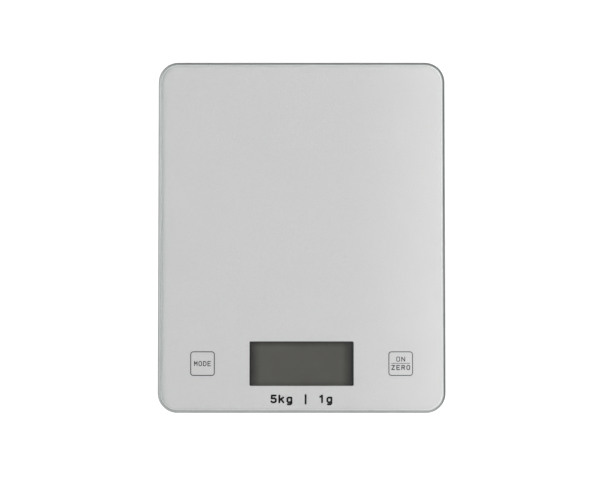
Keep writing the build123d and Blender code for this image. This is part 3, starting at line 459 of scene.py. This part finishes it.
def skinned(name, loops, material):
    """A closed body through loops of points, from the bottom up, with flat ends."""
    mesh = bpy.data.meshes.new(name)
    bm = bmesh.new()
    rings = [[bm.verts.new(point) for point in loop] for loop in loops]
    for lower, upper in zip(rings, rings[1:]):
        for i, vertex in enumerate(lower):
            j = (i + 1) % len(lower)
            bm.faces.new((vertex, lower[j], upper[j], upper[i]))
    bm.faces.new(list(reversed(rings[0])))
    bm.faces.new(rings[-1])
    bm.to_mesh(mesh)
    bm.free()
    return finished(name, mesh, material)


TURNED_STEPS = 96


def turned(name, outline, middle, material):
    """A closed body of revolution about an upright axis. outline is (radius, z) from bottom to top.

    An outline that starts or ends away from the axis gets a flat end.
    """
    loops = []
    for radius, z in outline:
        turns = (2 * math.pi * step / TURNED_STEPS for step in range(TURNED_STEPS))
        ring = [Vector((math.cos(turn), math.sin(turn), 0)) * radius for turn in turns]
        loops.append([point + Vector((middle[0], middle[1], z)) for point in ring])
    return skinned(name, loops, material)


def centre(low, high):
    """The middle of a box, seen from above."""
    return ((low[0] + high[0]) / 2, (low[1] + high[1]) / 2)


def arc(middle, radius, start, end, steps=5):
    """Points of an arc in an outline, angles in degrees."""
    turns = (math.radians(start + (end - start) * step / steps) for step in range(steps + 1))
    return [(middle[0] + radius * math.cos(t), middle[1] + radius * math.sin(t)) for t in turns]


# ---- Glass platform: pencil-ground edge, the silver print lies against its back ------------------
PLATE_CORNER = 12.5 * MM
EDGE_ROUND = 1.9 * MM
EDGE_STEPS = 10
PRINT_INSET = 2.0 * MM
# The glass reaches this far into the print, so that no air shows between them.
PRINT_CONTACT = 0.02 * MM
# The edge is skinned with faces of four points. The two polished faces have more.
EDGE_FACE_POINTS = 4

low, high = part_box("glass_platform")
plate_right, plate_back = high[0], high[1]


def plate_loop(inset, z):
    """The plate's outline at one height, drawn in by the inset."""
    return rounded_loop(plate_right - inset, plate_back - inset, PLATE_CORNER - inset, z)


bottom, top = low[2] - PRINT_CONTACT, high[2]
lower_round = arc((EDGE_ROUND, bottom + EDGE_ROUND), EDGE_ROUND, 270, 180, EDGE_STEPS)
upper_round = arc((EDGE_ROUND, top - EDGE_ROUND), EDGE_ROUND, 180, 90, EDGE_STEPS)
profile = [(PRINT_INSET, bottom)] + lower_round + upper_round + [(PRINT_INSET, top)]
glass = skinned("glass_plate", [plate_loop(i, z) for i, z in profile], MATERIALS["platform_glass"])
glass.data.materials.append(MATERIALS["ground_edge"])
for face in glass.data.polygons:
    face.material_index = 1 if face.loop_total == EDGE_FACE_POINTS else 0
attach(glass, "housing")
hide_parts("glass_platform")

# ---- Feet: rubber pad with anti-slip rings, smooth cap with a softened flange --------------------
GROOVE = 0.35 * MM
GROOVE_PITCH = 1.6 * MM
RING_WIDTH = 0.8 * MM
RING_SLOPE = 0.15 * MM
FIRST_RING = 1.0 * MM
CENTRE_SLOPE = 0.1 * MM
PAD_ROUND = 0.45 * MM
PAD_BEVEL = 0.1 * MM

for corner in CORNERS:
    low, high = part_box(f"foot_pad_{corner}")
    middle = centre(low, high)
    radius = (high[0] - low[0]) / 2
    outline = [(FIRST_RING - CENTRE_SLOPE, GROOVE), (FIRST_RING, 0)]
    ring = FIRST_RING
    while ring + RING_WIDTH + GROOVE_PITCH < radius:
        outline += [(ring + RING_WIDTH, 0), (ring + RING_WIDTH + RING_SLOPE, GROOVE)]
        ring += GROOVE_PITCH
        outline += [(ring - RING_SLOPE, GROOVE), (ring, 0)]
    outline += arc((radius - PAD_ROUND, PAD_ROUND), PAD_ROUND, -90, 0)
    outline += [(radius, high[2] - PAD_BEVEL), (radius - PAD_BEVEL, high[2])]
    pad = turned(f"ringed_pad_{corner}", outline, middle, MATERIALS["foot_rubber"])
    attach(pad, f"foot_{corner}")
    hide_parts(f"foot_pad_{corner}")

# Foot cap: its face over the table, the recess with the pad, the neck through the retaining ring,
# the flange that the ring holds, and the boss under the load cell.
FOOT_CAP_ROUND = 0.6 * MM
SOFT_EDGE = 0.2 * MM
FACE_Z = 1.2 * MM
RECESS_Z = 1.7 * MM
FLANGE_Z = 4.75 * MM
FLANGE_TOP_Z = 5.9 * MM
RECESS_RADIUS = 10.0 * MM
NECK_RADIUS = 13.9 * MM
FLANGE_RADIUS = 15.9 * MM
BOSS_RADIUS = 3.0 * MM

for corner in CORNERS:
    low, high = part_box(f"foot_cap_{corner}")
    middle = centre(low, high)
    outline = [(RECESS_RADIUS, RECESS_Z), (RECESS_RADIUS, FACE_Z + SOFT_EDGE)]
    outline += [(RECESS_RADIUS + SOFT_EDGE, FACE_Z)]
    neck_round = (NECK_RADIUS - FOOT_CAP_ROUND, FACE_Z + FOOT_CAP_ROUND)
    outline += arc(neck_round, FOOT_CAP_ROUND, -90, 0)
    outline += [(NECK_RADIUS, FLANGE_Z), (FLANGE_RADIUS - SOFT_EDGE, FLANGE_Z)]
    outline += [(FLANGE_RADIUS, FLANGE_Z + SOFT_EDGE), (FLANGE_RADIUS, FLANGE_TOP_Z - SOFT_EDGE)]
    outline += [(FLANGE_RADIUS - SOFT_EDGE, FLANGE_TOP_Z)]
    outline += [(BOSS_RADIUS, FLANGE_TOP_Z), (BOSS_RADIUS, high[2])]
    cap = turned(f"smooth_cap_{corner}", outline, middle, MATERIALS["foot_plastic"])
    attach(cap, f"foot_{corner}")
    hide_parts(f"foot_cap_{corner}")

# ---- Raised marks beside the battery cap: a dot where it locks, a bar where it comes out ---------
MARK_RELIEF = 0.15 * MM
MARK_ROOT = 0.05 * MM
MARK_BEVEL = 0.12 * MM
MARK_BEVEL_DEPTH = 0.06 * MM
MARK_REACH = 17.6 * MM
LOCKED_ANGLE = math.radians(90)
OPEN_ANGLE = math.radians(60)
DOT_RADIUS = 0.9 * MM
BAR_HALF_LENGTH = 1.3 * MM
BAR_HALF_WIDTH = 0.45 * MM
END_ROUNDNESS = 0.98

low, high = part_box("battery_cap")
cap_middle = Vector((*centre(low, high), 0))
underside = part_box("housing_tray")[0][2]


def mark_loops(half_width, half_depth, turn, middle):
    """Loops of a small raised pad under the tray, from its face up to just inside the tray."""
    radius = min(half_width, half_depth) * END_ROUNDNESS
    face = (MARK_BEVEL, MARK_RELIEF)
    shoulder = (0.0, MARK_RELIEF - MARK_BEVEL_DEPTH)
    root = (0.0, -MARK_ROOT)
    loops = []
    for inset, depth in (face, shoulder, root):
        flat = rounded_loop(half_width - inset, half_depth - inset, radius - inset, 0, steps=8)
        place = Matrix.Translation(middle + Vector((0, 0, underside - depth)))
        turned_flat = place @ Matrix.Rotation(turn, 4, "Z")
        loops.append([turned_flat @ point for point in flat])
    return loops


MARKS = {
    "locked_dot": (LOCKED_ANGLE, DOT_RADIUS, DOT_RADIUS),
    "open_bar": (OPEN_ANGLE, BAR_HALF_LENGTH, BAR_HALF_WIDTH),
}
for name, (turn, half_width, half_depth) in MARKS.items():
    middle = cap_middle + Vector((math.cos(turn), math.sin(turn), 0)) * MARK_REACH
    loops = mark_loops(half_width, half_depth, turn, middle)
    mark = skinned(name, loops, MATERIALS["tray_plastic"])
    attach(mark, "housing")

# ---- Studio: light table, bright tent with a soft box, one large soft lamp on the left -----------
FLOOR_RADIUS = 6.0
FLOOR_TONE = (0.655, 0.655, 0.655)
FLOOR_FIBRE = (0.67, 0.67, 0.67)
FLOOR_GLOW = 0.5


def floor():
    """White acrylic light table: pale, lit faintly from below, so that its shadows stay soft."""
    s = Shader("floor_acrylic", FLOOR_TONE, 0.6)
    s.surface.inputs["Specular IOR Level"].default_value = 0.2
    s.surface.inputs["Emission Color"].default_value = (1, 1, 1, 1)
    s.surface.inputs["Emission Strength"].default_value = FLOOR_GLOW
    s.color(s.mix(s.remap(s.noise(3 * MM, detail=4), 0.3, 0.7), FLOOR_TONE, FLOOR_FIBRE))
    bpy.ops.mesh.primitive_circle_add(vertices=96, radius=FLOOR_RADIUS, fill_type="NGON")
    plane = bpy.context.object
    plane.name = "floor"
    plane.data.materials.append(s.material)


# Brightness over directions: x to the right, y to the back, z up. LEAN holds factors for x and y,
# and CHANGE holds where a change of brightness starts and where it ends.
TENT_STRENGTH = 1.3
HORIZON_LEAN = (-0.8, -0.75)
HORIZON_CHANGE = (-0.45, 0.75)
HORIZON_DARK = 0.04
HORIZON_BRIGHT = 1.2
TENT_LEAN = (-0.45, -0.25)
TENT_CHANGE = (0.25, 0.7)
TABLE_GLOW = 0.36
TABLE_CHANGE = (0.06, 0.16)
CAMERA_SHADE = 0.88
CAMERA_CHANGE = (0.95, 0.98)
CAMERA_RIGHT_CHANGE = (0.02, 0.14)
SOFT_BOX = 2.9
SOFT_BOX_LEFT_CHANGE = (0.02, 0.17)
SOFT_BOX_RIGHT_CHANGE = (0.35, 0.5)
SOFT_BOX_END_CHANGE = (0.35, 0.5)
SOFT_BOX_HEIGHT_CHANGE = (0.4, 0.8)


def surroundings():
    """A bright tent overhead, and a horizon that is bright on the left and in front.

    Black flags make the horizon dark on the right and at the back, and darken the plate's edges
    there. A dim band glows all round, just above the table. A soft box with feathered edges hangs
    overhead to the right. The camera shades a patch straight overhead. The camera itself sees
    plain white around the floor.
    """
    world = bpy.data.worlds.new("studio")
    world.use_nodes = True
    tree = world.node_tree
    background = tree.nodes["Background"]
    background.inputs["Strength"].default_value = TENT_STRENGTH

    def add(kind, **settings):
        node = tree.nodes.new(kind)
        for key, value in settings.items():
            setattr(node, key, value)
        return node

    def ramp(source, change, start, end, kind="SMOOTHSTEP"):
        node = add("ShaderNodeMapRange", interpolation_type=kind)
        limits = {"From Min": change[0], "From Max": change[1], "To Min": start, "To Max": end}
        for socket, number in limits.items():
            node.inputs[socket].default_value = number
        tree.links.new(source, node.inputs["Value"])
        return node.outputs["Result"]

    def combine(operation, first, second):
        node = add("ShaderNodeMath", operation=operation)
        for socket, value in zip(node.inputs, (first, second)):
            if isinstance(value, (int, float)):
                socket.default_value = value
            else:
                tree.links.new(value, socket)
        return node.outputs[0]

    def leaning(factors):
        """How far a direction points the way that the factors for x and y say."""
        return combine("ADD", *(combine("MULTIPLY", d, f) for d, f in zip((x, y), factors)))

    split = add("ShaderNodeSeparateXYZ")
    tree.links.new(add("ShaderNodeTexCoord").outputs["Generated"], split.inputs[0])
    x, y, z = split.outputs
    horizon = ramp(leaning(HORIZON_LEAN), HORIZON_CHANGE, HORIZON_DARK, HORIZON_BRIGHT, "LINEAR")
    height = ramp(combine("ADD", z, leaning(TENT_LEAN)), TENT_CHANGE, 0.0, 1.0)
    tent = combine("MULTIPLY", combine("SUBTRACT", 1.0, height), horizon)
    tent = combine("ADD", tent, height)
    tent = combine("MAXIMUM", tent, ramp(z, TABLE_CHANGE, TABLE_GLOW, 0.0))
    shade = ramp(z, CAMERA_CHANGE, 0.0, CAMERA_SHADE)
    shade = combine("MULTIPLY", shade, ramp(x, CAMERA_RIGHT_CHANGE, 1.0, 0.0))
    light = combine("MULTIPLY", tent, combine("SUBTRACT", 1.0, shade))
    across = ramp(x, SOFT_BOX_LEFT_CHANGE, 0.0, 1.0)
    across = combine("MULTIPLY", across, ramp(x, SOFT_BOX_RIGHT_CHANGE, 1.0, 0.0))
    along = ramp(combine("ABSOLUTE", y, 0.0), SOFT_BOX_END_CHANGE, SOFT_BOX, 0.0)
    soft_box = combine("MULTIPLY", across, along)
    soft_box = combine("MULTIPLY", soft_box, ramp(z, SOFT_BOX_HEIGHT_CHANGE, 0.0, 1.0))
    light = combine("ADD", light, soft_box)
    seen = add("ShaderNodeLightPath").outputs["Is Camera Ray"]
    tree.links.new(combine("MAXIMUM", light, seen), background.inputs["Color"])
    bpy.context.scene.world = world


def soft_lamp(name, place, aim, size, power):
    """A square lamp of this width, turned towards the aim."""
    data = bpy.data.lights.new(name, "AREA")
    data.shape = "SQUARE"
    data.size = size
    data.energy = power
    lamp = bpy.data.objects.new(name, data)
    lamp.location = place
    lamp.rotation_euler = (Vector(aim) - Vector(place)).to_track_quat("-Z", "Y").to_euler()
    bpy.context.scene.collection.objects.link(lamp)


floor()
surroundings()
soft_lamp("key_lamp", place=(-1.0, 0.2, 1.2), aim=(0, 0, 0), size=0.8, power=4)
bpy.context.scene.view_settings.view_transform = "Standard"

# ---- Camera: nearly straight down, from a little in front ----------------------------------------
CAMERA_TILT = math.radians(2.5)
CAMERA_DISTANCE = 1.1
CAMERA_AIM = Vector((-1.0 * MM, -1.9 * MM, top))
VIEW_WIDTH = 375.6 * MM
SENSOR_WIDTH = 36

data = bpy.data.cameras.new("camera")
data.sensor_width = SENSOR_WIDTH
data.lens = SENSOR_WIDTH * CAMERA_DISTANCE / VIEW_WIDTH
camera = bpy.data.objects.new("camera", data)
towards_camera = Vector((0, -math.sin(CAMERA_TILT), math.cos(CAMERA_TILT)))
camera.location = CAMERA_AIM + towards_camera * CAMERA_DISTANCE
camera.rotation_euler = (CAMERA_TILT, 0, 0)
bpy.context.scene.collection.objects.link(camera)
bpy.context.scene.camera = camera
